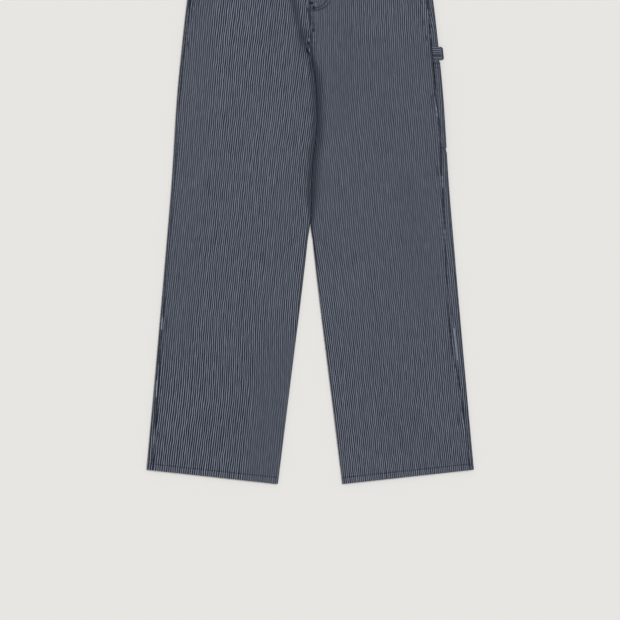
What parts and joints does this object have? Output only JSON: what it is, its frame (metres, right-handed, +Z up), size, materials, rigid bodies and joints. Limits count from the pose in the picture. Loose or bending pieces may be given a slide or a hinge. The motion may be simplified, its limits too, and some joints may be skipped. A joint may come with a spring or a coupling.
{
  "type": "work trousers",
  "caption": "Wide straight-leg striped cotton work trousers with a button fly waist, a hammer loop and a side tool pocket, laid flat with the front up.",
  "frame": {"origin": "on the ground under the middle of the garment's box, about 35 cm below the fork", "axes": "+Z up out of the front, +Y from the hems to the waist, +X towards the wearer's left"},
  "size_m": [0.6212, 1.109, 0.0123],
  "materials": {
    "striped_cotton": "matte twill in fine navy and off-white stripes",
    "button_metal": "aged, satin"
  },
  "bodies": {
    "root": {"front_right": "striped_cotton", "front_left": "striped_cotton", "back_right": "striped_cotton", "back_left": "striped_cotton", "hip_facing_right": "striped_cotton", "hip_facing_left": "striped_cotton", "waistband_front_right": "striped_cotton", "waistband_front_left": "striped_cotton", "waistband_back": "striped_cotton", "tool_pocket": "striped_cotton", "hammer_loop": "striped_cotton", "waist_button": "button_metal"}
  },
  "joints": []
}
